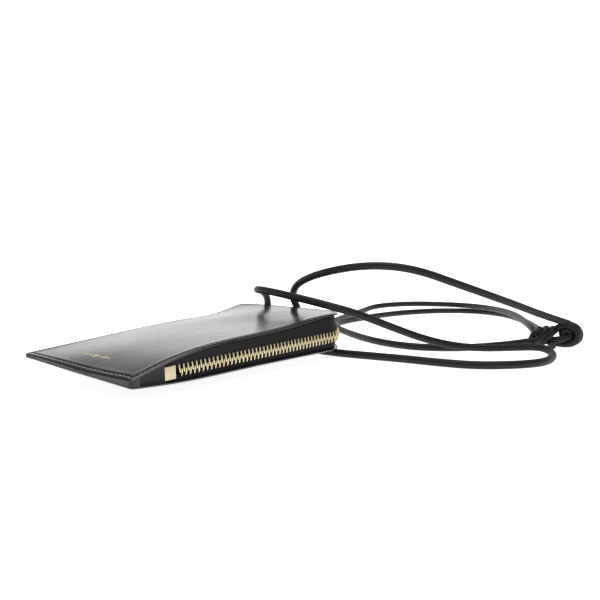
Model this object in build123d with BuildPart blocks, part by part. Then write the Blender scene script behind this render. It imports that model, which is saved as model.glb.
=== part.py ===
from build123d import *
import os
from math import cos, pi, radians, sin, tan

# A flat leather neck pouch with a metal zip round two sides and a knotted round leather neck cord.
# Millimetres, +Z up. +X runs along the pouch towards the cord, +Y from the zipped long side to the
# closed one. The origin is under the middle of the pouch and its cord tab, on the surface it lies on.

os.makedirs("parts", exist_ok=True)

# Pouch outline
pouch_length = 146.0
pouch_width = 85.0
zip_corner_radius = 14.0  # the corner that the zip turns
plain_corner_radius = 2.0

# Leather and lining
panel_thickness = 0.9
lining_thickness = 0.4
pocket_thickness = 0.7
seam_width = 5.0  # the glued and stitched margin of the two closed sides
lining_margin = 4.0  # from the filler of a closed side to the linings
glue_line = 0.15  # between two glued faces
gusset_thickness = 0.8

# Zip: chain, tapes and stops
chain_inset = 2.3  # from the panels' edge to the middle of the chain
tooth_pitch = 2.5
tooth_length = 1.0  # along the chain
tooth_half_depth = 1.15  # towards the outside and the inside
tooth_reach = 3.0  # from the middle of the chain to a tooth's root
tooth_overlap = 0.9  # how far a tooth's head passes the middle of the chain
tape_thickness = 0.6
tape_gap = 1.45  # from the middle of the chain to the bottom of a tooth's slot
tape_edge = 1.52  # and to the edge of a tape
slot_clearance = 0.06
zip_start = 27.4  # from the plain end to the first tooth, along the long side
zip_end = 27.0  # from the far corner back to the last tooth, along the short side
stop_length = 6.3
stop_gap = 2.6  # from the first tooth's middle
chain_height = 8.02  # above the back panel's thickness, at the first tooth
chain_rise_long = 0.0363  # climb of the chain per mm of length
chain_rise_short = 0.095  # and per mm of width

# Slider and pull
slider_length = 9.0
slider_half_width = 4.2
plate_thickness = 0.8
channel_clearance = 0.3
tape_slit = 1.0
wedge_length = 3.6
wedge_half_width = 1.2
lug_thickness = 0.9
lug_spacing = 3.2  # between the faces of the two lugs
lug_reach = 2.6
pin_radius = 0.6
pin_clearance = 0.08
pull_length = 13.0  # from the pin's middle to the end
pull_half_width = 2.6
pull_thickness = 1.2
pull_side_clearance = 0.15
pull_hole_radius = 1.3

# Neck cord, tab and knot
cord_radius = 2.1
tab_from_far_side = 28.0  # from the closed long side to the middle of the tab
tab_width = 9.4
tab_leather = 1.0
tab_reach = 13.2  # how far the tab stands out of the pouch
tab_grip = 9.0  # how far it lies along the back panel
cord_start_height = 12.0  # of the cord in the tab's loop
cord_clearance = 0.1
knot_wrap_radius = 5.2
knot_wrap_length = 13.6
knot_ring_radius = 5.6
knot_turn_rise = 0.35

left = -(pouch_length + tab_reach) / 2
right = left + pouch_length
near = -pouch_width / 2
far = pouch_width / 2

# Heights of the two panels over the surface, as if they had no thickness: the back panel's thickness
# raises all that is above it, and the front panel's goes on top. Each row is one station along the
# pouch, and holds the heights at the places across, from the zipped side to the closed side.
stations = (0.0, 24.0, 70.0, 97.0, pouch_length - 22.0, pouch_length)
places = (0.0, 26.0, 54.0, pouch_width - 7.0, pouch_width)
back_heights = (
    (5.0, 6.4, 7.7, 8.7, 9.0),
    (4.1, 1.42, 2.7, 9.2, 10.7),
    (4.7, 0.83, 3.85, 12.3, 14.3),
    (4.9, 2.2, 5.9, 14.2, 16.0),
    (5.0, 4.2, 8.4, 15.8, 17.5),
    (5.0, 8.6, 12.4, 16.4, 18.0),
)
front_heights = (
    (7.1, 7.0, 8.1, 9.3, 9.6),
    (13.7, 13.1, 12.3, 11.5, 11.4),
    (18.5, 18.2, 17.4, 15.8, 15.1),
    (20.0, 19.8, 19.2, 17.4, 16.8),
    (22.7, 22.5, 21.8, 19.2, 18.3),
    (23.5, 23.4, 23.4, 23.0, 22.5),
)


def save(piece, name):
    piece.part.label = name
    export_step(piece.part, f"parts/{name}.step")


# ---------------------------------------------------------------- panels, lining and pocket


trim = 0.5  # a sheet is made this much too large all round, and is then cut to its outline


def spread(values):
    return (values[0] - trim, *values[1:-1], values[-1] + trim)


def layer(low, low_offset, high, high_offset):
    """A sheet that follows the panels' shape, between two of their faces moved up or down."""
    across = [near + y for y in spread(places)]
    with BuildPart() as sheet:
        for station, low_row, high_row in zip(spread(stations), low, high):
            with BuildSketch(Plane.YZ.offset(left + station)):
                with BuildLine():
                    lower = Spline([(y, z + low_offset) for y, z in zip(across, low_row)])
                    upper = Spline([(y, z + high_offset) for y, z in zip(across, high_row)])
                    Line(lower @ 0, upper @ 0)
                    Line(lower @ 1, upper @ 1)
                make_face()
        loft()
    return sheet


def outline(inset=0.0, seam=0.0):
    """The pouch in plan, drawn in from its zipped sides by inset and from its closed sides by seam."""
    x_low, x_high = left + seam, right - inset
    y_low, y_high = near + inset, far - seam
    with BuildSketch() as plan:
        with BuildLine():
            FilletPolyline(
                (x_low, y_low),
                (x_high, y_low),
                (x_high, y_high),
                (x_low, y_high),
                close=True,
                radius=[
                    plain_corner_radius,
                    zip_corner_radius - inset,
                    plain_corner_radius,
                    plain_corner_radius,
                ],
            )
        make_face()
    return plan


tall = 60.0  # more than the pouch's height, for cuts that go right through


def cut_to(sheet, plan):
    with BuildPart() as piece:
        add(sheet.part)
        with BuildSketch(Plane.XY.offset(-tall / 2)):
            add(plan.sketch)
        extrude(amount=1.5 * tall, mode=Mode.INTERSECT)
    return piece


back_panel = cut_to(layer(back_heights, 0, back_heights, panel_thickness), outline())
save(back_panel, "back_panel")

front_low = panel_thickness
front_panel = cut_to(
    layer(front_heights, front_low, front_heights, front_low + panel_thickness), outline()
)
save(front_panel, "front_panel")

chain_room = chain_inset + tooth_half_depth + channel_clearance + plate_thickness + 0.3
lining_plan = outline(inset=chain_room, seam=seam_width + lining_margin)
lining_low = panel_thickness + glue_line
lining_high = lining_low + lining_thickness

back_lining = cut_to(layer(back_heights, lining_low, back_heights, lining_high), lining_plan)
save(back_lining, "back_lining")

front_room = front_low - glue_line
front_lining = cut_to(
    layer(front_heights, front_room - lining_thickness, front_heights, front_room), lining_plan
)
save(front_lining, "front_lining")

pocket_low = lining_high + glue_line
pocket_end_margin = 30.0
pocket_side_margin = 12.0
with BuildSketch() as pocket_plan:
    with Locations((left + pouch_length / 2, near + pouch_width / 2)):
        RectangleRounded(
            pouch_length - 2 * pocket_end_margin, pouch_width - 2 * pocket_side_margin, 4.0
        )
card_pocket = cut_to(
    layer(back_heights, pocket_low, back_heights, pocket_low + pocket_thickness), pocket_plan
)
save(card_pocket, "card_pocket")

# ---------------------------------------------------------------- closed sides and zip ends

room = layer(back_heights, panel_thickness + glue_line, front_heights, front_room)

with BuildSketch() as end_seam_plan:
    with Locations((left + seam_width / 2, (near + far) / 2)):
        Rectangle(seam_width, pouch_width)
end_seam = cut_to(cut_to(room, outline()), end_seam_plan)
save(end_seam, "end_seam_filler")

side_seam_length = pouch_length - seam_width - zip_corner_radius
side_seam_end = left + seam_width + side_seam_length
with BuildSketch() as side_seam_plan:
    with Locations((side_seam_end - side_seam_length / 2, far - seam_width / 2)):
        Rectangle(side_seam_length, seam_width)
side_seam = cut_to(room, side_seam_plan)
save(side_seam, "side_seam_filler")

end_clearance = 0.4
gusset_run = zip_start - stop_length - stop_gap - seam_width - end_clearance
with BuildSketch() as near_gusset_plan:
    with Locations((left + seam_width + gusset_run / 2, near + chain_inset)):
        Rectangle(gusset_run, gusset_thickness)
near_gusset = cut_to(room, near_gusset_plan)
save(near_gusset, "zip_start_gusset")

chain_base = chain_height + panel_thickness
chain_x = right - chain_inset  # the chain's line along the short side
chain_y = near + chain_inset  # and along the long side
last_tooth_y = far - zip_end
slider_y = last_tooth_y + slider_length / 2 - 1.0
slider_front = slider_y + slider_length / 2
top_stop_length = 2.0
top_stop_y = slider_front + 0.3 + top_stop_length / 2
tape_end_y = top_stop_y + top_stop_length / 2 + 1.0
far_gusset_start = tape_end_y + tape_thickness + end_clearance
with BuildSketch() as far_gusset_plan:
    with BuildLine():
        bend = Polyline(
            (chain_x, far_gusset_start),
            (chain_x, far - seam_width / 2),
            (side_seam_end + gusset_thickness / 2 + glue_line, far - seam_width / 2),
        )
        offset(bend, amount=gusset_thickness / 2)
    make_face()
far_gusset = cut_to(room, far_gusset_plan)
save(far_gusset, "zip_end_gusset")

# ---------------------------------------------------------------- zip


def chain_level(x, y):
    """Height of the middle of the chain: it lies in one sloping plane."""
    along, across = x - left - zip_start, y - near
    return chain_base + chain_rise_long * along + chain_rise_short * across


chain_plane = Plane(
    origin=(left + zip_start, near, chain_base),
    x_dir=(1, 0, chain_rise_long),
    z_dir=(-chain_rise_long, -chain_rise_short, 1),
)

bend_radius = zip_corner_radius - chain_inset
bend_x, bend_y = right - zip_corner_radius, near + zip_corner_radius
tape_start_x = left + seam_width + gusset_run + end_clearance + tape_thickness
with BuildSketch() as tape_plan:
    with BuildLine():
        tape_line = FilletPolyline(
            (tape_start_x, chain_y), (chain_x, chain_y), (chain_x, tape_end_y), radius=bend_radius
        )
        offset(tape_line, amount=tape_thickness / 2)
    make_face()
tape_band = cut_to(room, tape_plan)


def tape(side):
    """One tape: side is 1 above the chain and -1 below it."""
    with BuildPart() as piece:
        add(tape_band.part)
        keep = Keep.TOP if side > 0 else Keep.BOTTOM
        split(bisect_by=chain_plane.offset(side * tape_edge), keep=keep)
    return piece


save(tape(1), "zip_tape_upper")
save(tape(-1), "zip_tape_lower")

long_run = bend_x - (left + zip_start)
bend_run = bend_radius * pi / 2
short_run = last_tooth_y - bend_y


def chain_place(distance):
    """The plane of a tooth that far along the chain: x along the chain, y up, z outwards."""
    if distance <= long_run:
        x, y, turn = left + zip_start + distance, chain_y, 0.0
    elif distance <= long_run + bend_run:
        turn = (distance - long_run) / bend_radius
        x, y = bend_x + bend_radius * sin(turn), bend_y - bend_radius * cos(turn)
    else:
        x, y, turn = chain_x, bend_y + distance - long_run - bend_run, pi / 2
    climb = chain_rise_long * cos(turn) + chain_rise_short * sin(turn)
    return Plane(
        origin=(x, y, chain_level(x, y)),
        x_dir=(cos(turn), sin(turn), climb),
        z_dir=(sin(turn), -cos(turn), 0),
    )


def teeth(places_along, side):
    """Zip teeth with a slot for the tape: side is 1 above the chain and -1 below it."""
    planes = [chain_place(distance) for distance in places_along]
    head_middle = side * (tape_gap - tooth_overlap) / 2
    leg_middle = side * (tape_gap + tooth_reach) / 2
    slot_half = tape_thickness / 2 + slot_clearance
    leg_depth = tooth_half_depth - slot_half
    with BuildPart() as piece:
        with BuildSketch(*planes):
            with Locations((0, head_middle)):
                Rectangle(tooth_length, tape_gap + tooth_overlap)
        extrude(amount=tooth_half_depth, both=True)
        for low in (slot_half, -tooth_half_depth):
            with BuildSketch(*[plane.offset(low) for plane in planes]):
                with Locations((0, leg_middle)):
                    Rectangle(tooth_length, tooth_reach - tape_gap)
            extrude(amount=leg_depth)
    return piece


tooth_count = int((long_run + bend_run + short_run) / tooth_pitch) + 1
upper_places = [i * tooth_pitch for i in range(tooth_count)]
lower_places = [distance + tooth_pitch / 2 for distance in upper_places[:-1]]
slider_travel = 36.0
slider_open_y = slider_y - slider_travel - slider_length / 2
travel_start = long_run + bend_run + slider_open_y - bend_y - 2.0
for row, row_places, side in (("upper", upper_places, 1), ("lower", lower_places, -1)):
    fixed = [distance for distance in row_places if distance < travel_start]
    parting = [distance for distance in row_places if distance >= travel_start]
    save(teeth(fixed, side), f"{row}_teeth")
    save(teeth(parting, side), f"{row}_teeth_in_slider_travel")

with BuildPart() as bottom_stop:
    stop_plane = chain_place(-stop_gap - stop_length / 2)
    with BuildSketch(stop_plane):
        Rectangle(stop_length, 2 * tooth_reach + 0.4)
    extrude(amount=tooth_half_depth, both=True)
    with BuildSketch(stop_plane):
        with Locations((0, tape_gap + tooth_reach), (0, -tape_gap - tooth_reach)):
            Rectangle(stop_length, 2 * tooth_reach)
    extrude(amount=tape_thickness / 2 + slot_clearance, both=True, mode=Mode.SUBTRACT)
    fillet(bottom_stop.faces().sort_by(Axis.Y)[0].edges(), 0.3)
save(bottom_stop, "bottom_stop")


def top_stop(side):
    place = chain_place(long_run + bend_run + top_stop_y - bend_y)
    with BuildPart() as piece:
        with BuildSketch(place):
            with Locations((0, side * (tape_gap - 0.3 + tooth_reach) / 2)):
                Rectangle(top_stop_length, tooth_reach - tape_gap + 0.3)
        extrude(amount=tooth_half_depth, both=True)
        with BuildSketch(place):
            with Locations((0, side * (tape_gap + tooth_reach))):
                Rectangle(top_stop_length, 2 * tooth_reach)
        extrude(amount=tape_thickness / 2 + slot_clearance, both=True, mode=Mode.SUBTRACT)
    return piece


save(top_stop(1), "top_stop_upper")
save(top_stop(-1), "top_stop_lower")

# ---------------------------------------------------------------- slider and pull

slide_plane = chain_place(long_run + bend_run + slider_y - bend_y)
channel_half = tooth_half_depth + channel_clearance
plate_outside = channel_half + plate_thickness
flange_width = slider_half_width - tooth_reach - channel_clearance
hinge_out = plate_outside + 1.5  # from the tape's middle to the pull's pin
hinge_along = -slider_length / 2 + lug_reach / 2 + 0.6
lug_middle = (lug_spacing + lug_thickness) / 2

with BuildPart() as slider_body:
    for low in (channel_half, -plate_outside):
        with BuildSketch(slide_plane.offset(low)):
            RectangleRounded(slider_length, 2 * slider_half_width, 1.6)
        extrude(amount=plate_thickness)
    for low in (tape_slit / 2, -channel_half):
        with BuildSketch(slide_plane.offset(low)):
            with Locations(
                (0, slider_half_width - flange_width / 2), (0, flange_width / 2 - slider_half_width)
            ):
                Rectangle(slider_length - 3.2, flange_width)
        extrude(amount=channel_half - tape_slit / 2)
    with BuildSketch(slide_plane):
        with Locations((slider_length / 2 - wedge_length / 2, 0)):
            Rectangle(wedge_length, 2 * wedge_half_width)
    extrude(amount=channel_half, both=True)
    for side in (1, -1):
        lug_side = chain_plane.z_dir * (side * lug_middle)
        with BuildSketch(slide_plane.offset(plate_outside)):
            with Locations((hinge_along, side * lug_middle)):
                Rectangle(lug_reach, lug_thickness)
        extrude(amount=lug_reach)
    with BuildSketch(
        Plane(
            origin=slide_plane.from_local_coords((hinge_along, 0, hinge_out)),
            z_dir=slide_plane.y_dir,
        )
    ):
        Circle(pin_radius)
    extrude(amount=lug_spacing, both=True, mode=Mode.SUBTRACT)
save(slider_body, "slider_body")

hinge_plane = Plane(
    origin=slide_plane.from_local_coords((hinge_along, 0, hinge_out)),
    x_dir=slide_plane.x_dir,
    z_dir=slide_plane.y_dir,
)
with BuildPart() as pull_pin:
    with BuildSketch(hinge_plane):
        Circle(pin_radius)
    extrude(amount=lug_spacing / 2 + lug_thickness, both=True)
save(pull_pin, "pull_pin")

eye_radius = 1.4
eye_half_height = lug_spacing / 2 - pull_side_clearance
with BuildPart() as zip_pull:
    with BuildSketch(hinge_plane):
        Circle(eye_radius)
        with Locations((eye_radius + 1.0, 0)):
            Rectangle(2 * eye_radius + 2.0, pull_thickness)
    extrude(amount=eye_half_height, both=True)
    blade_start = eye_radius + 2.2
    with BuildSketch(Plane(origin=hinge_plane.origin, x_dir=hinge_plane.x_dir, z_dir=slide_plane.z_dir)):
        with Locations((blade_start + (pull_length - blade_start) / 2, 0)):
            RectangleRounded(pull_length - blade_start, 2 * pull_half_width, 1.2)
        with Locations((pull_length - pull_half_width, 0)):
            Circle(pull_hole_radius, mode=Mode.SUBTRACT)
    extrude(amount=pull_thickness / 2, both=True)
    with BuildSketch(hinge_plane):
        Circle(pin_radius + pin_clearance)
    extrude(amount=lug_spacing, both=True, mode=Mode.SUBTRACT)
save(zip_pull, "zip_pull")

# ---------------------------------------------------------------- cord tab

tab_y = far - tab_from_far_side
tab_near, tab_far = tab_y - tab_width / 2, tab_y + tab_width / 2
hole_radius = cord_radius + cord_clearance
loop_x = right + tab_reach - hole_radius - tab_leather
strap_thickness = 2 * tab_leather

# The strap lies flat on the back panel's outer face.
with BuildSketch() as strap_plan:
    with Locations((right - tab_grip / 2, tab_y)):
        Rectangle(tab_grip, tab_width)
strap_high = -glue_line
strap_low = strap_high - strap_thickness
strap = cut_to(layer(back_heights, strap_low, back_heights, strap_high), strap_plan)
strap_end = strap.faces().sort_by(Axis.X)[-1]
strap_corners = [tuple(corner) for corner in strap_end.vertices()]
strap_corners.sort(key=lambda corner: (corner[1], corner[2]))
low_near, high_near, low_far, high_far = strap_corners
with BuildPart() as cord_tab:
    add(strap.part)
    with BuildSketch(Plane.YZ.offset(right)):
        with BuildLine():
            Polyline(*[corner[1:] for corner in (low_near, high_near, high_far, low_far)], close=True)
        make_face()
    with BuildSketch(Plane.YZ.offset(loop_x - hole_radius)):
        with Locations((tab_y, cord_start_height)):
            Rectangle(tab_width, strap_thickness)
    loft()
    with BuildSketch(Plane.XZ.offset(-tab_far)):
        with Locations((loop_x, cord_start_height)):
            Circle(hole_radius + tab_leather)
    extrude(amount=tab_width)
    with BuildSketch(Plane.XZ.offset(-tab_far)):
        with Locations((loop_x, cord_start_height)):
            Circle(hole_radius)
    extrude(amount=tab_width, mode=Mode.SUBTRACT)
save(cord_tab, "cord_tab")

# ---------------------------------------------------------------- neck cord and knot


def cord(route):
    """A round cord along straight runs joined by arcs, each as large as its two runs allow."""
    points = [Vector(left + x, near + y, z) for x, y, z in route]
    radii = []
    for before, here, after in zip(points, points[1:], points[2:]):
        run_in, run_out = here - before, after - here
        half_turn = radians(run_in.get_angle(run_out)) / 2
        radii.append(0.45 * min(run_in.length, run_out.length) / tan(half_turn))
    with BuildPart() as piece:
        with BuildLine():
            line = FilletPolyline(*points, radius=radii)
        with BuildSketch(Plane(origin=line @ 0, z_dir=line % 0)):
            Circle(cord_radius)
        sweep()
    swept = piece.part.volume / (pi * cord_radius**2 * line.length)
    print("cord", round(line.length), "mm, volume over section times length", round(swept, 4))
    print("  arc radii", [round(radius, 1) for radius in radii])
    return piece


floor = cord_radius
front_cord_route = (
    (156, 57, cord_start_height), (156, 65, cord_start_height), (156, 72.2, 13.5),
    (155.5, 75, 20.5), (153, 73.5, 28), (147.5, 69.5, 32), (138.5, 65, 34.5), (131.5, 54, 35.6), (129, 38, 34.7), (128, 20, 32.8), (129, 2, 30.2),
    (140, -11, 25.4), (158, -17.5, 18.5), (178, -26.5, 10.5), (193, -37.5, 4.5),
    (204.5, -52, floor), (205, -67, floor), (213.5, -75, floor), (215, -86.5, floor),
    (201, -94, floor), (184.5, -92, floor), (170.5, -83.5, floor), (158, -70, floor),
    (153.5, -51, floor), (151, -31.5, floor), (146.5, -11.5, floor), (143, 5.5, floor),
    (143, 20, floor), (149.5, 38, floor), (168, 53, floor), (197, 69, floor), (232, 87, floor),
    (275, 105, floor), (318, 119, floor), (349, 126, 4), (371, 108, 5.5), (382, 80, 6),
    (378, 50, 7), (355.5, 16.5, 8.5), (316, -17, 10.5), (272, -46.5, 11), (248.5, -60.2, 9.9),
)  # fmt: skip
arch_cord_route = (
    (156, 57, cord_start_height), (156, 49, cord_start_height), (156, 44.6, 18.7),
    (154, 46.5, 27), (149, 41, 35.3), (145, 28, 42.3), (143.5, 11, 48.3), (145.5, -8, 51.2),
    (151.5, -24.5, 51.2),
    (162, -37, 46.6), (174.5, -48, 39.5), (194, -58.5, 31.2), (218, -65, 24), (240, -71, 18),
    (259, -77.5, 13.6),
)  # fmt: skip
bight_cord_route = (
    (245.2, -61.8, 3), (238, -56, 2.6), (222, -48, floor), (202.5, -37, floor),
    (189, -17, floor), (190, 6, floor), (199, 29, floor), (212, 51, floor),
    (225.5, 71, floor), (241, 85, floor), (262, 90.5, floor), (290, 92, floor),
    (320, 91.5, floor), (348, 84.5, floor), (372, 71, floor), (385, 48.5, floor),
    (378, 20, floor), (352, -7, floor), (313, -33, 4), (274, -54, 6.5), (249.5, -62.2, 6),
)  # fmt: skip
for name, route in (
    ("neck_cord_front", front_cord_route),
    ("neck_cord_arch", arch_cord_route),
    ("neck_cord_bight", bight_cord_route),
):
    save(cord(route), name)

knot_heading = -49.2  # degrees, the way the knot points in plan
knot_start = Vector(left + 246.5, near - 62.8, knot_wrap_radius + knot_turn_rise)
knot_plane = Plane(
    origin=knot_start,
    x_dir=(0, 0, 1),
    z_dir=(cos(radians(knot_heading)), sin(radians(knot_heading)), 0),
)
turn_pitch = knot_wrap_length / 3
with BuildPart() as neck_knot:
    with BuildSketch(knot_plane):
        Circle(knot_wrap_radius - 0.8)
    extrude(amount=knot_wrap_length)
    for turn in range(3):
        middle = knot_plane.offset((turn + 0.5) * turn_pitch)
        with Locations(middle.location):
            Torus(knot_wrap_radius - cord_radius, cord_radius)
    ring_middle = knot_plane.offset(knot_wrap_length + knot_ring_radius + cord_radius - 0.5).origin
    for side in (1, -1):
        ring_centre = ring_middle + knot_plane.y_dir * (side * 1.9)
        ring_centre.Z = knot_ring_radius + cord_radius + 0.05
        ring_plane = Plane(origin=ring_centre, x_dir=knot_plane.z_dir, z_dir=knot_plane.y_dir)
        with Locations(ring_plane.location):
            Torus(knot_ring_radius, cord_radius)
save(neck_knot, "neck_knot")

with BuildPart() as knot_tail:
    tail_start = knot_plane.offset(knot_wrap_length * 0.75).origin
    tail_plane = Plane(
        origin=(tail_start.X, tail_start.Y, cord_radius + 0.1),
        z_dir=(-sin(radians(50)), -cos(radians(50)), 0),
    )
    with BuildSketch(tail_plane.offset(knot_wrap_radius - 2.5)):
        Circle(cord_radius)
    extrude(amount=8.0)
save(knot_tail, "knot_tail")
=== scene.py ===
# %% [markdown]
# # A leather neck pouch with a zip and a knotted cord
#
# The pouch is a flat wallet of smooth dark leather, zipped round one long side and one end, that
# hangs from a long round leather cord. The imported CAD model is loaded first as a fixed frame. It
# says where every piece sits and how the zip's slider and its pull move. Each piece is then
# modelled again in more detail, in the same place, and rides on the frame's body it belongs to.

# %% Load the frame
from math import atan2, cos, pi, radians, sin

import bmesh
import bpy
import numpy as np
from mathutils import Matrix, Vector


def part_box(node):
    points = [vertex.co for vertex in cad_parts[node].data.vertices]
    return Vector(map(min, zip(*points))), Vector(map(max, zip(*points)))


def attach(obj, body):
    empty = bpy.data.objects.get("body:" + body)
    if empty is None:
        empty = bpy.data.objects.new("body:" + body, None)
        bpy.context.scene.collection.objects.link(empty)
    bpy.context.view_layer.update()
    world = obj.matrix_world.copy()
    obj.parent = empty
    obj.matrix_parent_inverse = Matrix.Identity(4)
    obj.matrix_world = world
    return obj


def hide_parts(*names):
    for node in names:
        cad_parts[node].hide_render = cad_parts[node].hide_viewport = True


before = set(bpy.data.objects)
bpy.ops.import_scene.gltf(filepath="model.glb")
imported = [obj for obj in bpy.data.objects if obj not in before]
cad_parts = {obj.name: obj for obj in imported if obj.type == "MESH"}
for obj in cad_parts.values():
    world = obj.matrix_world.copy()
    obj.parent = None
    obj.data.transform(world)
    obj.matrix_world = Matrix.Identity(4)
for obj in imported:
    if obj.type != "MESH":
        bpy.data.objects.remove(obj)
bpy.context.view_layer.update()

# %% [markdown]
# ## Places on the pouch
#
# Everything is easier to place in the pouch's own terms: so many millimetres along it, so many
# across it, and so many above the table. The frame gives the panel's lowest corner, and one small
# function turns the pouch's numbers into Blender's metres.

# %% Millimetres on the pouch to metres in the scene
mm = 0.001
panel_low, panel_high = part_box("front_panel")
left, near = panel_low.x, panel_low.y
pouch_length = (panel_high.x - panel_low.x) / mm
pouch_width = (panel_high.y - panel_low.y) / mm


def spot(along, across, up):
    """A place given in millimetres along, across and above the table, in metres."""
    return Vector((left + along * mm, near + across * mm, up * mm))


print("pouch", round(pouch_length), "x", round(pouch_width), "mm")

# %% [markdown]
# ## The camera
#
# The pouch is seen from just above the table, across its zipped corner, so that both zipped sides
# and the cord behind it show. A lens of 46 mm from about 47 cm away gives the strong perspective
# of such a close view.


# %% Place the camera
def placed(name, data, material=None):
    """A new object of the scene that holds data, with smooth faces if it has any."""
    piece = bpy.data.objects.new(name, data)
    bpy.context.scene.collection.objects.link(piece)
    if material:
        data.materials.append(material)
    for face in getattr(data, "polygons", ()):
        face.use_smooth = True
    return piece


camera_data = bpy.data.cameras.new("camera")
camera_data.lens, camera_data.sensor_width = 45.725, 36.0
camera = placed("camera", camera_data)
camera.location = spot(-186.4, -254.4, 71.95)
heading, pitch = radians(41.083), radians(5.498)
looking = Vector((cos(pitch) * cos(heading), cos(pitch) * sin(heading), -sin(pitch)))
camera.rotation_euler = looking.to_track_quat("-Z", "Y").to_euler()
bpy.context.scene.camera = camera
print("camera", [round(v, 4) for v in camera.location], "lens", camera_data.lens)

# %% [markdown]
# ## The neck cord's runs
#
# A round leather cord bends evenly, so its middle line is one smooth curve. A NURBS spline gives
# that from few points: it is pulled towards each point and never kinks. A bezier curve would need
# two handles at each point to do as well. The spline's order is set after its points are there,
# because it can't be higher than their number.

# %% Draw cords as splines
cord_thickness = 4.2
table = cord_thickness / 2  # how high a cord's middle is where it lies on the table
strand_steps, knot_steps = 14, 8  # how finely each stretch of a spline is drawn


def cord_through(name, lines, steps, material=None):
    """Cords of even thickness along NURBS splines through lists of places in metres."""
    curve = bpy.data.curves.new(name, "CURVE")
    curve.dimensions = "3D"
    curve.bevel_depth = cord_thickness / 2 * mm
    curve.bevel_resolution = 6
    curve.resolution_u = steps
    curve.use_fill_caps = True
    for places in lines:
        line = curve.splines.new("NURBS")
        line.points.add(len(places) - 1)
        for point, place in zip(line.points, places):
            point.co = (*place, 1.0)
        line.order_u = 3
        line.use_endpoint_u = True
    print(name, "of", len(lines), "splines through", sum(map(len, lines)), "points")
    return placed(name, curve, material)


def strand_along(name, route):
    """One run of the neck cord."""
    return cord_through(name, [[spot(*place) for place in route]], strand_steps)


# %% [markdown]
# The first run leaves the leather tab at the pouch's end, climbs over the zipped corner, drops to
# the table, turns back under that corner and makes the big loop round to the knot.

# %% The long run over and under the corner
front_strand = strand_along("cord_front", [
    (156, 57, 12), (156, 63, 12), (156.5, 69.5, 14.2), (157.5, 72.2, 21), (156, 70.8, 28),
    (149.5, 68.5, 32.8), (139, 64, 34.5), (131.5, 54, 35.6), (129, 38, 34.7), (128, 20, 32.8),
    (129, 2, 30.2), (140, -11, 25.4), (158, -17.5, 18), (178, -27, 9.6), (193.5, -37.5, 4.6),
    (205.5, -50.5, 3.0), (212.5, -65, 4.2), (219, -80, 5.4), (211, -90.5, 3.2),
    (197.5, -93.5, table), (184.5, -92, table), (170.5, -83.5, table), (158, -70, table),
    (153.5, -51, table), (151, -31.5, table), (146.5, -11.5, table), (143, 5.5, table),
    (143, 20, table), (149.5, 38, table), (168, 53, table), (197, 69, table), (232, 87, table),
    (275, 105, table), (318, 119, table), (349, 126, 4), (371, 108, 5.5), (382, 80, 6),
    (378, 50, 7), (355.5, 16.5, 8.5), (316, -17, 10.5), (272, -46.5, 11), (251.5, -60.5, 9.6),
    (249.2, -65.1, 6.5),
])

# %% [markdown]
# The second run leaves the tab the other way and springs up in a high arch to the knot.

# %% The arch
arch_strand = strand_along("cord_arch", [
    (156, 57, 12), (156, 50.5, 12), (156, 45, 15.5), (155.2, 44.8, 22.5), (152.3, 47, 30),
    (148, 41, 37.5), (144.5, 28, 43), (143.5, 11, 47.5), (145.5, -8, 50.8), (151.5, -24.5, 51.2),
    (162, -37, 48.2), (174.5, -48, 42.3), (194, -58.5, 35), (218, -65, 27.6), (240, -71, 20.4),
    (260, -78.5, 14.2),
])

# %% [markdown]
# The third is a loop of the same cord that runs out of the knot and back into it.

# %% The loop through the knot
loop_strand = strand_along("cord_loop", [
    (248.6, -65.6, 4.4), (238, -56, 2.6), (222, -48, table), (202.5, -37, table),
    (189, -17, table), (190, 6, table), (199, 29, table), (212, 51, table),
    (225.5, 71, table), (241, 85, table), (262, 90.5, table), (290, 92, table),
    (320, 91.5, table), (348, 84.5, table), (372, 71, table), (385, 48.5, table),
    (378, 20, table), (352, -7, table), (313, -33, 4), (274, -54, 6.5), (254, -61.8, 6.1),
    (250, -66.2, 5.6),
])

# %% [markdown]
# ## Shader maths as plain expressions
#
# Materials here are node trees, and a tree is easier to read as sums than as boxes and wires. The
# small class below holds one output of a node. Adding or multiplying two of them adds the Math node
# that does it. Any other node comes from `Paint.node`, which takes the node's type, its settings
# and what its inputs are joined to.


# %% A class for shader values
class Value:
    """One output socket. Python's operators on it add Math nodes."""

    def __init__(self, paint, socket):
        self.paint, self.socket = paint, socket

    def _maths(self, operation, *values):
        return self.paint.node("ShaderNodeMath", {"operation": operation}, *values)

    def __add__(self, other):
        return self._maths("ADD", self, other)

    __radd__ = __add__

    def __sub__(self, other):
        return self._maths("SUBTRACT", self, other)

    def __rsub__(self, other):
        return self._maths("SUBTRACT", other, self)

    def __mul__(self, other):
        return self._maths("MULTIPLY", self, other)

    __rmul__ = __mul__

    def clipped(self):
        """The value, kept from 0 to 1."""
        return self._maths("MINIMUM", self._maths("MAXIMUM", self, 0.0), 1.0)


print("values can be added, subtracted and multiplied")


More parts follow.
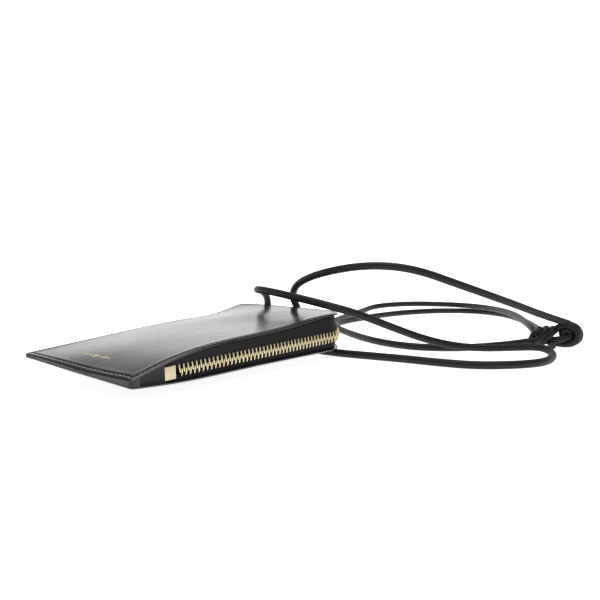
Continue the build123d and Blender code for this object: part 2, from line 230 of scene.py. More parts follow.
# %% A class for materials and for the room
class Paint:
    """The nodes of a material or world under construction, round its main shader."""

    def __init__(self, owner, shader="Principled BSDF"):
        owner.use_nodes = True
        self.owner, self.tree = owner, owner.node_tree
        self.shader = self.tree.nodes[shader]

    def node(self, kind, settings=None, *inputs, output=0, **named):
        """Adds a node: its settings first, then its inputs in order or by name."""
        made = self.tree.nodes.new(kind)
        for key, setting in (settings or {}).items():
            setattr(made, key, setting)
        pairs = list(zip(made.inputs, inputs))
        for key, value in named.items():
            wanted = key.replace("_", " ")
            pairs.append((next(s for s in made.inputs if s.enabled and s.name == wanted), value))
        for socket, value in pairs:
            self._set(socket, value)
        return Value(self, made.outputs[output])

    def _set(self, socket, value):
        if isinstance(value, Value):
            self.tree.links.new(value.socket, socket)
        else:
            socket.default_value = value

    def place(self):
        """Where a point of the surface is on the object, in metres."""
        return self.node("ShaderNodeTexCoord", output=3)

    def noise(self, place, size_mm, detail=3.0, roughness=0.5):
        """Cloudy noise from 0 to 1, whose features are about size_mm across."""
        return self.node(
            "ShaderNodeTexNoise", Vector=place, Scale=1 / (size_mm * mm), Detail=detail,
            Roughness=roughness,
        )

    def mixed(self, share, first, second):
        """A colour between two colours, each of three numbers."""
        return self.node(
            "ShaderNodeMix", {"data_type": "RGBA"}, output=2,
            Factor=share, A=(*first, 1), B=(*second, 1),
        )

    def bump(self, height, depth_mm):
        """Raises the surface by height times depth_mm, as light sees it."""
        self.join(Normal=self.node("ShaderNodeBump", Distance=depth_mm * mm, Height=height))

    def join(self, **sockets):
        """Sets sockets of the main shader to numbers, colours or Values, and returns its owner."""
        for key, value in sockets.items():
            self._set(self.shader.inputs[key.replace("_", " ")], value)
        return self.owner


print("paint can add noise, mixed colours and bumps")

# %% [markdown]
# ## Smooth leather
#
# The panels are of smooth calf leather, polished to a soft shine. Up close it has a very fine
# grain, faint creases where it has been bent, and slightly duller patches where it was handled. The
# colour is a warm black that is never quite even. All of it comes from noise at three sizes: clouds
# for handling, a middle size for the way the hide undulates, and pebbles half a millimetre across
# for the grain. The cord's leather is duller, and so is the paint on a cut edge.


# %% Leather material
def leather(name, dark, light, shine, grain_mm=0.45, grain_depth=0.012, wave_depth=0.05, gloss=0.5):
    """Dark leather. shine is its middle roughness, gloss how strongly it mirrors."""
    paint = Paint(bpy.data.materials.new(name))
    place = paint.place()
    clouds = paint.noise(place, 28.0, detail=4.0)
    hide = paint.noise(place, 5.0, detail=5.0, roughness=0.6)
    pebbles = paint.node(
        "ShaderNodeTexVoronoi", {"feature": "DISTANCE_TO_EDGE"},
        Vector=place, Scale=1 / (grain_mm * mm),
    )
    pores = paint.noise(place, 0.16, detail=2.0)
    paint.bump(pebbles * 0.7 + pores * 0.3 + hide * (wave_depth / grain_depth), grain_depth)
    print(name, "is a leather")
    return paint.join(
        Base_Color=paint.mixed((clouds * 0.7 + pores * 0.3).clipped(), dark, light),
        Roughness=(shine - 0.06 + hide * 0.08 + clouds * 0.06).clipped(),
        Specular_IOR_Level=gloss,
    )


black_leather = leather(
    "black_leather", (0.010, 0.010, 0.011), (0.022, 0.021, 0.022), 0.20, gloss=0.75
)
edge_paint = leather(
    "painted_edge", (0.010, 0.009, 0.009), (0.018, 0.017, 0.017), 0.42, grain_mm=0.9
)
cord_leather = leather(
    "cord_leather", (0.008, 0.008, 0.009), (0.017, 0.016, 0.017), 0.48,
    grain_mm=0.6, grain_depth=0.02, wave_depth=0.06, gloss=0.25,
)

# %% [markdown]
# ## The pouch's shape
#
# The pouch isn't flat. It is filled near the zipped corner and thin at the far end, and its back
# bulges down on to the table. Two tables of heights say how high each panel's outer face is at
# places along and across. Between them the leather bends like a thin springy strip, which is what a
# natural cubic spline does. Sculpting by hand would give a shape that no other piece could follow,
# while a function of place gives the linings, the seams and the stitches the same curve.

# %% Height tables and the spline between them
along_knots = np.array([-0.5, 24.0, 70.0, 97.0, 124.0, 146.5])
across_knots = np.array([-0.5, 26.0, 54.0, 78.0, 85.5])
back_heights = np.array([
    [5.0, 6.4, 7.7, 8.7, 9.0],
    [4.1, 1.42, 2.7, 9.2, 10.7],
    [4.7, 0.83, 3.85, 12.3, 14.3],
    [4.9, 2.2, 5.9, 14.2, 16.0],
    [5.0, 4.2, 8.4, 15.8, 17.5],
    [5.0, 8.6, 12.4, 16.4, 18.0],
])
front_heights = np.array([
    [8.9, 8.8, 9.9, 11.1, 11.4],
    [15.5, 14.9, 14.1, 13.3, 13.2],
    [20.3, 20.0, 19.2, 17.6, 16.9],
    [21.8, 21.6, 21.0, 19.2, 18.6],
    [24.5, 24.3, 23.6, 21.0, 20.1],
    [25.3, 25.2, 25.2, 24.8, 24.3],
])
table_contact = 0.6  # below this height in mm the leather flattens on to the table


def spline_shares(knots, at):
    """How much each knot's height counts at each place, for a natural cubic spline."""
    count, gaps = len(knots), np.diff(knots)
    sides, bends = np.eye(count), np.zeros((count, count))
    for i in range(1, count - 1):
        sides[i, i - 1 : i + 2] = gaps[i - 1], 2 * (gaps[i - 1] + gaps[i]), gaps[i]
        bends[i, i - 1 : i + 2] = 6 / gaps[i - 1], -6 / gaps[i - 1] - 6 / gaps[i], 6 / gaps[i]
    curving = np.linalg.solve(sides, bends)
    i = np.clip(np.searchsorted(knots, at) - 1, 0, count - 2)
    gap = gaps[i][:, None]
    after, before = (at - knots[i])[:, None], (knots[i + 1] - at)[:, None]
    whole = np.eye(count)
    straight = (whole[i] * before + whole[i + 1] * after) / gap
    bent = curving[i] * (before**3 / gap - gap * before)
    bent += curving[i + 1] * (after**3 / gap - gap * after)
    return straight + bent / 6


def heights_at(heights, places):
    """The height in mm of a panel's outer face over each (along, across)."""
    places = np.asarray(places, float)
    shares_along = spline_shares(along_knots, places[:, 0])
    shares_across = spline_shares(across_knots, places[:, 1])
    high = np.einsum("ni,nj,ij->n", shares_along, shares_across, heights)
    pressed = table_contact * np.exp(np.minimum(high / table_contact - 1, 0))
    return np.where(high < table_contact, pressed, high)


middle_heights = [heights_at(face, [[70, 40]]).item() for face in (back_heights, front_heights)]
print("the middle lies from", np.round(middle_heights, 1), "mm above the table")

# %% [markdown]
# ## Sheets cut to the pouch's outline
#
# Panels, linings and the pocket are all sheets of one outline, more or less inset. A plain grid
# would cut the round corner into steps, so a sheet here is made of rings that follow the outline
# inwards, and of a patch that fills the middle. The rings also put plenty of points near the edge,
# where the stitches pull the leather down and the cut edge is rounded.

# %% Outline rings and the patch between them
corner_radius = 14.0
plain_radius = 2.0
ring_depth = 8.0  # how far in the rings go
ring_counts = (96, 56)  # points along a long and a short side
corner_points = 6  # on each half of a corner
no_margins = (0, 0, 0, 0)


def outline_sides(inset, margins=no_margins):
    """Four runs of places round the outline, from the middle of one corner to the next.

    margins moves the near, far, left and right sides in before the inset is taken."""
    near_side, far_side, left_side, right_side = margins
    low_x, high_x = left_side + inset, pouch_length - right_side - inset
    low_y, high_y = near_side + inset, pouch_width - far_side - inset
    small = plain_radius * max(0.04, 1 - inset / (ring_depth + 0.5))
    big = max(corner_radius - max(near_side, right_side) - inset, 0.3)
    near_left, near_right = (low_x + small, low_y + small, small), (high_x - big, low_y + big, big)
    far_left, far_right = ((x, high_y - small, small) for x in (low_x + small, high_x - small))

    def arc(corner, start, end):
        x, y, radius = corner
        turns = np.radians(np.linspace(start, end, corner_points + 1))
        return np.stack([x + radius * np.cos(turns), y + radius * np.sin(turns)], 1)

    def side(first, last, count):
        run = np.linspace(first[-1], last[0], count + 1)
        return np.concatenate([first[:-1], run, last[1:]])

    long_count, short_count = ring_counts
    return (
        side(arc(near_left, 225, 270), arc(near_right, 270, 315), long_count),
        side(arc(near_right, -45, 0), arc(far_right, 0, 45), short_count),
        side(arc(far_left, 135, 90), arc(far_right, 90, 45), long_count),
        side(arc(near_left, 225, 180), arc(far_left, 180, 135), short_count),
    )


def ring_of(sides):
    """The four runs as one closed ring, anticlockwise."""
    bottom, right, top, left_run = sides
    return np.concatenate([bottom[:-1], right[:-1], top[:0:-1], left_run[:0:-1]])


def patch_of(sides):
    """Places inside the ring, on a grid that runs smoothly from side to side."""
    bottom, right, top, left_run = sides
    u = np.linspace(0, 1, len(bottom))[:, None, None]
    v = np.linspace(0, 1, len(right))[None, :, None]
    blend = (1 - v) * bottom[:, None] + v * top[:, None] + (1 - u) * left_run + u * right
    corners = (1 - u) * (1 - v) * bottom[0] + u * (1 - v) * bottom[-1] + (1 - u) * v * top[0]
    return blend - corners - u * v * top[-1]


print("a ring has", len(ring_of(outline_sides(0))), "points")

# %% [markdown]
# ## A skin over loops
#
# Nearly every solid piece here is made the same way. Closed loops of points are laid out one after
# another, all with as many points, and a band of quads joins each loop to the next. The two ends
# are capped, or the last loop is joined to the first. Blender's own bridge tool does this too, but
# it guesses which points belong together, and a numbered loop needn't guess.


# %% Bands, skins and objects from points
def bands(loops, ring=False):
    """Quads between each loop of point numbers and the next, and on to the first for a ring."""
    loops = np.asarray(loops)
    after = np.roll(loops, -1, axis=0)
    quads = np.stack([loops, after, np.roll(after, -1, 1), np.roll(loops, -1, 1)], -1)
    return list((quads if ring else quads[:-1]).reshape(-1, 4))


def skin(loops, ring=False):
    """The bands, with the first and the last loop capped unless they form a ring."""
    return bands(loops, ring) + ([] if ring else [loops[0], loops[-1][::-1]])


def numbered(loops):
    """Point numbers for equally long loops."""
    rows, count = np.shape(loops)[:2]
    return np.arange(rows * count).reshape(rows, count)


def object_from(name, points, faces, material):
    """A smooth mesh object from points in metres and faces."""
    mesh = bpy.data.meshes.new(name)
    mesh.from_pydata([tuple(p) for p in points], [], [tuple(map(int, f)) for f in faces])
    mesh.validate()
    print(name, "of", len(mesh.vertices), "points")
    return placed(name, mesh, material)


def joined(name, parts, material):
    """One object from many parts, each of points in metres and faces."""
    points, faces = [], []
    for shape, pattern in parts:
        faces += [np.add(face, len(points)) for face in pattern]
        points += list(shape)
    return object_from(name, points, faces, material)


def skinned(name, loops, material, ring=False):
    """An object skinned over loops of points in metres."""
    return object_from(name, np.reshape(loops, (-1, 3)), skin(numbered(loops), ring), material)


def in_scene(places, heights):
    """Places and heights in mm as points in metres."""
    return np.column_stack([left + places[:, 0] * mm, near + places[:, 1] * mm, heights * mm])


# %% Turn two faces into one closed sheet
ring_insets = (
    8.0, 6.8, 5.7, 4.8, 4.2, 3.8, 3.4, 3.1, 2.8, 2.5, 2.2, 1.9, 1.6, 1.3, 1.0, 0.75, 0.5, 0.3, 0.15
)


def cut_sheet(name, upper, lower, material, margins=no_margins, insets=ring_insets, rounding=0.13):
    """A closed sheet between two faces, each a function of places and how far in they are."""
    patch = patch_of(outline_sides(insets[0], margins))
    flat = patch.reshape(-1, 2)
    far_in = np.full(len(flat), insets[0])
    turns = np.radians([80, 60, 40, 20, 0])
    steps = [(inset, 0.0) for inset in insets[1:]]
    steps += [(rounding * (1 - cos(t)), rounding * (1 - sin(t))) for t in turns]
    rings = []
    for face, way, rows in ((upper, -1, steps), (lower, 1, steps[::-1])):
        for inset, dip in rows:
            ring = ring_of(outline_sides(inset, margins))
            rings.append(in_scene(ring, face(ring, np.full(len(ring), inset)) + way * dip))
    points = [in_scene(flat, upper(flat, far_in)), *rings, in_scene(flat, lower(flat, far_in))]
    grid = numbered(patch)
    rim = np.concatenate([grid[:-1, 0], grid[-1, :-1], grid[:0:-1, -1], grid[0, :0:-1]])
    quads = np.stack([grid[:-1, :-1], grid[1:, :-1], grid[1:, 1:], grid[:-1, 1:]], -1)
    quads = quads.reshape(-1, 4)
    rest = len(flat) + numbered(rings)
    lower_start = rest[-1, -1] + 1
    faces = [*quads, *(lower_start + quads[:, ::-1]), *bands([rim, *rest, lower_start + rim])]
    return object_from(name, np.concatenate(points), faces, material)


# %% [markdown]
# ## The two leather panels
#
# Each panel is a sheet 0.9 mm thick. A row of stitches runs round it, 2.2 mm in from the edge, and
# 3 mm in along the plain end. The thread pulls the leather down into a soft groove, and beyond it
# the margin stands a little proud. The groove is real geometry, because it catches the light in a
# long thin line that a bump in the material would lose at the edge.

# %% Panels with their stitched grooves
panel_thickness = 0.9
seam_inset = 2.2
plain_end_seam = 3.0
groove_depth, groove_width = 0.2, 0.42
roll_width, roll_depth = 1.5, 0.62  # the burnished edge, rounded over


def seam_line(places):
    """How far in the stitches run at each place."""
    on_plain_end = (places[:, 0] < 5) & (places[:, 1] > 4) & (places[:, 1] < pouch_width - 4)
    return np.where(on_plain_end, plain_end_seam, seam_inset)


def hump(away, width):
    """1 in the middle of a soft ridge or groove, falling to 0 on both sides."""
    return np.exp(-((away / width) ** 2))


def groove(places, inset):
    """How far the thread and the rounded edge pull the leather down, in mm."""
    away = inset - seam_line(places)
    rolled = np.clip(1 - inset / roll_width, 0, 1)
    dip = groove_depth * hump(away, groove_width) + roll_depth * (1 - np.sqrt(1 - rolled**2))
    return dip - 0.07 * hump(away - 1.5, 0.8) - 0.05 * hump(away + 1.2, 0.5)


def hide_waves(places):
    """The slow undulation of a hide glued to its lining, in mm."""
    x, y = places[:, 0], places[:, 1]
    waves = 0.05 * np.sin(x / 11.0 + 0.6 * np.sin(y / 17.0))
    waves += 0.04 * np.sin(y / 9.0 + 1.3 + 0.5 * np.sin(x / 23.0))
    return waves + 0.03 * np.sin((x + 1.7 * y) / 14.0)


def front_outer(places, inset):
    return heights_at(front_heights, places) - groove(places, inset) + hide_waves(places)


def back_outer(places, inset):
    return heights_at(back_heights, places) + groove(places, inset)


def lifted(heights, level):
    """A face that follows a panel, so many mm above its outer face."""
    return lambda places, inset=None: heights_at(heights, places) + level


front_inner = lifted(front_heights, -panel_thickness)
back_inner = lifted(back_heights, panel_thickness)
front_leather = cut_sheet("front_leather", front_outer, front_inner, black_leather)
back_leather = cut_sheet("back_leather", back_inner, back_outer, black_leather)

# %% [markdown]
# ## Lining, pocket and the closed seams
#
# Inside, each panel is backed by a thin woven lining, and a card pocket lies on the back one. They
# hardly show, but the pouch is a real object that can be opened, so they are there, with a woven
# finish. Along the plain end and the closed long side the two panels are glued to a filler strip,
# and the three edges are painted over as one.


# %% Woven material
def woven(name, dark, light, thread_mm, twill=0.0):
    """Cloth of crossing threads. twill slants the weave, as on zip tape."""
    paint = Paint(bpy.data.materials.new(name))
    place = paint.place()
    turned = paint.node("ShaderNodeMapping", None, place, Rotation=(twill, twill, twill))
    warp, weft, rise = (
        paint.node(
            "ShaderNodeTexWave", {"bands_direction": axis}, output=1,
            Vector=turned, Scale=1 / (thread_mm * mm * 2 * pi),
        )
        for axis in "XYZ"
    )
    weave = (warp * weft * 2.0 + rise * 0.5).clipped()
    fuzz = paint.noise(place, 0.7, detail=4.0)
    paint.bump(weave + fuzz * 0.3, 0.08)
    print(name, "is a cloth")
    return paint.join(
        Base_Color=paint.mixed((weave * 0.7 + fuzz * 0.3).clipped(), dark, light),
        Roughness=(0.85 - weave * 0.12).clipped(),
        Sheen_Weight=0.06, Sheen_Roughness=0.5, Specular_IOR_Level=0.2,
    )


lining_cloth = woven("lining_cloth", (0.008, 0.008, 0.010), (0.030, 0.030, 0.034), 0.35)
tape_cloth = woven("tape_cloth", (0.004, 0.004, 0.005), (0.014, 0.014, 0.016), 0.45, twill=0.6)

# %% Linings and pocket
lining_insets = (6.0, 4.0, 2.5, 1.5, 0.8, 0.3)
lining_margins = (4.85, 9.0, 9.0, 4.85)
pocket_margins = (12, 12, 30, 30)


def cloth_sheet(name, heights, low, high, margins, rounding):
    """A sheet of lining cloth between two levels above a panel's outer face."""
    faces = lifted(heights, high), lifted(heights, low)
    return cut_sheet(name, *faces, lining_cloth, margins, lining_insets, rounding)


back_lining = cloth_sheet("back_lining_cloth", back_heights, 1.05, 1.45, lining_margins, 0.12)
front_lining = cloth_sheet("front_lining_cloth", front_heights, -1.45, -1.05, lining_margins, 0.12)
pocket = cloth_sheet("card_pocket_cloth", back_heights, 1.6, 2.3, pocket_margins, 0.2)

# %% Filler strips of the closed sides
seam_width = 5.0
glue = 0.05  # between a panel and a filler
filler_faces = (
    lifted(front_heights, -panel_thickness - glue), lifted(back_heights, panel_thickness + glue)
)


def filler(name, margins):
    """A painted strip between the panels."""
    return cut_sheet(name, *filler_faces, edge_paint, margins, (1.2, 0.8, 0.5), 0.08)


end_filler = filler("end_seam_edge", (0.3, 0.3, 0.12, pouch_length - seam_width))
side_filler = filler(
    "side_seam_edge", (pouch_width - seam_width, 0.12, seam_width + 0.1, corner_radius)
)

# %% [markdown]
# ## The zip's line
#
# The zip runs along one long side, round the corner and up the end. Its teeth march along one line
# in a gently sloping plane. A tooth needs to know where it stands, which way the line runs and
# which way is out, so one function gives a matrix for any distance along the zip.

# %% Where the zip runs
chain_inset = 2.3
tooth_pitch = 2.5
chain_start = 27.4
chain_base = 8.92
rise_along, rise_across = 0.0363, 0.095
toothless_end = 27.0  # from the last tooth to the closed long side
bend_radius = corner_radius - chain_inset
straight_run = pouch_length - corner_radius - chain_start
bend_run = bend_radius * pi / 2
whole_run = straight_run + bend_run + pouch_width - toothless_end - corner_radius
end_offset = straight_run + bend_run - corner_radius  # from a place across to a distance
slider_reach = straight_run + bend_run + 5.5  # where the slider, drawn right back, starts
chain_x = pouch_length - chain_inset
print("the toothed line is", round(whole_run), "mm long")


# %% Heights, places and matrices along the zip
def chain_height(along, across):
    """Height in mm of the middle of the zip."""
    return chain_base + rise_along * (along - chain_start) + rise_across * across


def fade(distance):
    """1 along the long side, easing to 0 round the corner, where the slider runs."""
    share = min(1.0, max(0.0, (slider_reach - distance) / bend_run))
    return share * share * (3 - 2 * share)


def swell(distance):
    """How far in mm the filled pouch pushes the zip out of its line: most before the corner."""
    return 2.5 * min(1.0, max(0.0, distance) / straight_run) ** 1.5 * fade(distance)


def lean(distance):
    """How far a tooth's root lies behind its head, as a share of the tooth's length."""
    return 0.32 * fade(distance)


def chain_spot(distance, bulge=0.0):
    """Place in plan and turn of the line, in mm and radians, that far along the zip.

    bulge is the share of the outward swell that the place follows."""
    out = bulge * swell(distance)
    if distance <= straight_run:
        return chain_start + distance, chain_inset - out, 0.0
    if distance <= straight_run + bend_run:
        turn = (distance - straight_run) / bend_radius
        x = pouch_length - corner_radius + (bend_radius + out) * sin(turn)
        return x, corner_radius - (bend_radius + out) * cos(turn), turn
    return chain_x + out, distance - end_offset, pi / 2


def chain_matrix(distance):
    """A matrix whose x runs along the zip, y up and z outwards, in mm scaled to metres."""
    x, y, turn = chain_spot(distance, 1.0)
    climb = rise_along * cos(turn) + rise_across * sin(turn)
    along = Vector((cos(turn), sin(turn), climb)).normalized()
    out = Vector((sin(turn), -cos(turn), 0))
    turned = Matrix((along, out.cross(along), out)).transposed().to_4x4()
    return Matrix.Translation(spot(x, y, chain_height(x, y))) @ turned @ Matrix.Scale(mm, 4)


print("half way along, the zip swells by", round(swell(straight_run / 2), 1), "mm")

# %% [markdown]
# ## Walls between the panels
#
# The tapes and the two gussets are strips that stand on edge between the panels. Each is drawn as a
# wall along the zip's line: a few rows from its foot to its top, with a thickness at each row. A
# tape is thickest at its corded edge, where the teeth grip it.


# %% Build a standing strip
def wall(name, spots, rows, material):
    """A closed strip along a line, given as places and turns, such as the zip's line.

    rows run from the foot up. Each is a height function of places, a half thickness in mm and how
    far out of the line it stands."""
    places = np.array([s[:2] for s in spots])
    outward = np.array([[sin(s[2]), -cos(s[2])] for s in spots])
    sides = [(high, out + half) for high, half, out in rows]
    sides += [(high, out - half) for high, half, out in rows[::-1]]
    lines = [
        in_scene(places + outward * np.reshape(out, (-1, 1)), high(places)) for high, out in sides
    ]
    return skinned(name, np.stack(lines, 1), material)


def between(share, low, high):
    """A height part of the way from one height function to another."""
    return lambda places: (1 - share) * low(places) + share * high(places)


def chain_level(offset):
    """A height so many mm above the middle of the zip."""
    return lambda places: chain_height(places[:, 0], places[:, 1]) + offset


floor_of_room, roof_of_room = lifted(back_heights, 0.95), lifted(front_heights, -0.95)
print("walls stand from 0.95 mm inside one panel's face to 0.95 mm inside the other's")

# %% The two tapes
slider_middle = 61.5  # where the slider stands across the pouch, drawn shut
stop_distance = end_offset + slider_middle + 5.8
tape_stations = np.arange(-8.2, stop_distance + 2.0, 0.8)
tape_run = [chain_spot(d) for d in tape_stations]
swelling = np.array([swell(d) for d in tape_stations])
leaning = np.array([lean(d) for d in tape_stations])


def tape_rows(side, panel_side):
    """A tape's rows from the chain to its panel. side is 1 above the chain and -1 below."""
    rows = []
    for level, half in ((1.5, 0.16), (1.65, 0.3), (2.1, 0.3), (2.5, 0.26)):
        rows.append((chain_level(side * level), half, swelling - leaning * level))
    for share in (0.25, 0.5, 0.75, 1.0):
        height = between(share, chain_level(side * level), panel_side)
        rows.append((height, half, (swelling - leaning * level) * (1 - share) ** 1.3))
    return rows[::side]


upper_tape = wall("upper_tape", tape_run, tape_rows(1, roof_of_room), tape_cloth)
lower_tape = wall("lower_tape", tape_run, tape_rows(-1, floor_of_room), tape_cloth)

# %% [markdown]
# ## Gussets past the ends of the zip
#
# The toothed line stops short of the closed sides. There a folded strip of leather closes the gap
# between the panels: a narrow wedge where the zip starts, and a strip that turns the far corner
# where it ends. Foot and top curve outwards to the stitched edge. Their leather is as dull as the
# cord's, because it never gets polished.

# %% Two leather gussets
gusset_rows = [
    (between(t, floor_of_room, roof_of_room), 0.4, 0.85 * (2 * t - 1) ** 4)
    for t in (0, 0.06, 0.14, 0.25, 0.5, 0.75, 0.86, 0.94, 1)
]
start_line = [(x, 1.45, 0.0) for x in np.arange(4.9, 18.2, 0.6)]
start_gusset = wall("start_gusset", start_line, gusset_rows, cord_leather)

gusset_bend, gusset_end = 3.0, 132.6
end_y = pouch_width - seam_width / 2
gusset_start = stop_distance - end_offset + 3.1
end_line = [(chain_x, y, pi / 2) for y in np.arange(gusset_start, end_y - gusset_bend, 0.8)]
for turn in np.radians(np.arange(0, 91, 15)):
    aside, ahead = gusset_bend * (1 - cos(turn)), gusset_bend * (1 - sin(turn))
    end_line.append((chain_x - aside, end_y - ahead, pi / 2 + turn))
end_line += [(x, end_y, pi) for x in np.arange(chain_x - gusset_bend - 0.8, gusset_end, -0.8)]
end_gusset = wall("end_gusset", end_line, gusset_rows, cord_leather)

# %% [markdown]
# ## Polished pale gold
#
# The zip's metal is brass with a pale gold plating. It is bright where it has been rubbed and a
# little duller in between, and the plating has a fine brushed unevenness. A metal takes all its
# colour from its reflections, so its base colour is the gold itself. The folded stop is rougher
# and deeper in colour than the teeth, and the slider is the brightest.


# %% Metal material
def gold(name, bright, deep, smooth):
    """Plated brass. smooth is its least roughness."""
    paint = Paint(bpy.data.materials.new(name))
    place = paint.place()
    stretched = paint.node("ShaderNodeMapping", None, place, Scale=(1.0, 1.0, 0.25))
    rubbed = paint.noise(place, 3.0, detail=4.0)
    brushed = paint.noise(stretched, 0.35)
    pointiness = paint.node("ShaderNodeNewGeometry", output=7)
    edges = ((pointiness - 0.5) * 6.0).clipped()
    paint.bump(brushed + rubbed * 0.5, 0.012)
    print(name, "is a metal")
    return paint.join(
        Base_Color=paint.mixed((rubbed * 0.5 + edges * 0.5).clipped(), deep, bright),
        Metallic=1.0,
        Roughness=(smooth + rubbed * 0.1 + brushed * 0.08 - edges * 0.06).clipped(),
    )


tooth_gold = gold("tooth_gold", (0.84, 0.75, 0.52), (0.58, 0.49, 0.29), 0.26)
stop_gold = gold("stop_gold", (0.70, 0.62, 0.45), (0.50, 0.42, 0.27), 0.34)
slider_gold = gold("slider_gold", (0.93, 0.82, 0.56), (0.82, 0.69, 0.42), 0.20)

# %% [markdown]
# ## The zip's teeth
#
# A tooth is a small bar of metal squeezed on to the tape's corded edge, with a rounded head that
# hooks between two heads of the other row. The pouch is full, so the two rows lean back from where
# they meet, and the chain looks like a row of arrowheads. One tooth is modelled with care, narrower
# and hollowed at its head, and copied to every place. A bevel of a quarter of a millimetre is what
# makes each bar flash.

# %% Model one tooth
tooth_width, tooth_depth, tooth_bevel = 0.86, 2.3, 0.24
tooth_head, tooth_root = -0.9, 3.0


def rounded_block(bm, low, high, bevel, segments=3):
    """Adds a box between two corners to bm, with rounded edges."""
    made = bmesh.ops.create_cube(bm, size=1.0)["verts"]
    for vertex in made:
        vertex.co = [a + (at + 0.5) * (b - a) for at, a, b in zip(vertex.co, low, high)]
    edges = list({edge for vertex in made for edge in vertex.link_edges})
    bmesh.ops.bevel(bm, geom=edges, offset=bevel, segments=segments, profile=0.5, affect="EDGES")


def one_tooth(side):
    """A tooth's points and faces in mm: x along the zip, y up for side 1, z outwards."""
    bm = bmesh.new()
    high = np.array((tooth_width / 2, tooth_root, tooth_depth / 2))
    rounded_block(bm, high * (-1, tooth_head / tooth_root, -1), high, tooth_bevel)
    points = np.array([vertex.co[:] for vertex in bm.verts])
    faces = [[v.index for v in face.verts] for face in bm.faces]
    bm.free()
    along_tooth = (points[:, 1] - tooth_head) / (tooth_root - tooth_head)
    at_head = along_tooth < 0.35
    points[at_head, 0] *= 0.80 + 0.57 * along_tooth[at_head]
    points[at_head, 2] *= 0.93 + 0.2 * along_tooth[at_head]
    points[:, 2] *= 1.0 - 0.10 * np.maximum(0.0, along_tooth - 0.75)
    points[:, 1] *= side
    # The faces of a mirrored tooth go round the other way.
    return points, [[first, *others[::side]] for first, *others in faces]


def tooth_row(name, distances, side):
    """All the teeth of one row, as one object."""
    shape, pattern = one_tooth(side)
    teeth = []
    for distance in distances:
        matrix = np.array(chain_matrix(distance))
        leaned = shape.copy()
        leaned[:, 2] -= lean(distance) * np.abs(shape[:, 1])
        teeth.append((leaned @ matrix[:3, :3].T + matrix[:3, 3], pattern))
    return joined(name, teeth, tooth_gold)


# %% Set the teeth along the zip
upper_places = tooth_pitch * np.arange(int(whole_run / tooth_pitch) + 1)
lower_places = upper_places[:-1] + tooth_pitch / 2
upper_row = tooth_row("zip_teeth_upper", upper_places, 1)
lower_row = tooth_row("zip_teeth_lower", lower_places, -1)
print(len(upper_places), "teeth above and", len(lower_places), "below")

# %% [markdown]
# ## The stops at the two ends of the zip
#
# A folded block of metal holds both tapes together where the zip starts, and a small block on each
# tape keeps the slider from running off at the other end. They are plain bars with soft edges.


# %% Three blocks
def finished(name, bm, matrix, material):
    """Sets a bmesh in place as an object, smooth but for its sharpest edges."""
    bmesh.ops.recalc_face_normals(bm, faces=bm.faces[:])
    mesh = bpy.data.meshes.new(name)
    bm.transform(matrix)
    bm.to_mesh(mesh)
    bm.free()
    piece = placed(name, mesh, material)
    mesh.set_sharp_from_angle(angle=radians(50))
    print(name, "of", len(mesh.vertices), "points")
    return piece


def stop_block(name, low, high, distance, material):
    """A rounded bar between two corners in mm, that far along the zip."""
    bm = bmesh.new()
    rounded_block(bm, low, high, 0.3)
    return finished(name, bm, chain_matrix(distance), material)


bottom_block = stop_block(
    "bottom_stop_block", (-3.1, -3.15, -1.15), (3.1, 3.15, 1.15), -5.75, stop_gold
)
upper_stop = stop_block(
    "top_stop_block_upper", (-1.0, 1.2, -1.15), (1.0, 3.0, 1.15), stop_distance, slider_gold
)
lower_stop = stop_block(
    "top_stop_block_lower", (-1.0, -3.0, -1.15), (1.0, -1.2, 1.15), stop_distance, slider_gold
)

# %% [markdown]
# ## The slider and its pull
#
# The slider and its pull are the pieces that move. The slider is two plates that hold the two rows
# of teeth in a channel between them, joined at its front by a wedge that parts the rows. Two lugs
# on the outer plate hold a pin, and the pull swings on it. The slider rides on the CAD body that
# runs along the zip. The pull rides on the body that turns about the pin, so it is built about the
# pin's place.


# %% Plates with rounded outlines
def around(count):
    """Evenly spaced angles of a full turn."""
    return np.linspace(0, 2 * pi, count, endpoint=False)


def rounded_outline(half_long, half_wide, radius):
    """Places round a rounded rectangle, anticlockwise."""
    x, y = half_long - radius, half_wide - radius
    places = []
    for k, (x, y) in enumerate(((x, -y), (x, y), (-x, y), (-x, -y))):
        for t in np.linspace((k - 1) * pi / 2, k * pi / 2, 9):
            places.append((x + radius * cos(t), y + radius * sin(t)))
    return np.array(places)


def grown(outline, by):
    """An outline scaled about its middle, so that it moves out by so many mm where narrowest."""
    middle = outline.mean(0)
    size = np.linalg.norm(outline - middle, axis=1).min()
    return middle + (outline - middle) * (1 + by / size)


def add_skin(bm, loops, ring=False):
    """Adds a skin over loops of points in mm to bm."""
    made = [bm.verts.new(point) for point in np.reshape(loops, (-1, 3))]
    for face in skin(numbered(loops), ring):
        bm.faces.new([made[i] for i in face])


def add_plate(bm, outline, low, high, rounding, hole=None):
    """Adds a plate between two heights, with rounded rims and perhaps a hole."""
    turns = np.radians([90, 60, 30, 0])
    quarter = [(rounding * (1 - cos(t)), rounding * (1 - sin(t))) for t in turns]
    rows = [(outline, -inset, low + dip) for inset, dip in quarter]
    rows += [(outline, -inset, high - dip) for inset, dip in quarter[::-1]]
    if hole is not None:
        rows += [(hole, -by, height) for _, by, height in rows[::-1]]
    loops = []
    for edge, by, height in rows:
        loops.append([(x, y, height) for x, y in grown(edge, by)])
    add_skin(bm, loops, ring=hole is not None)


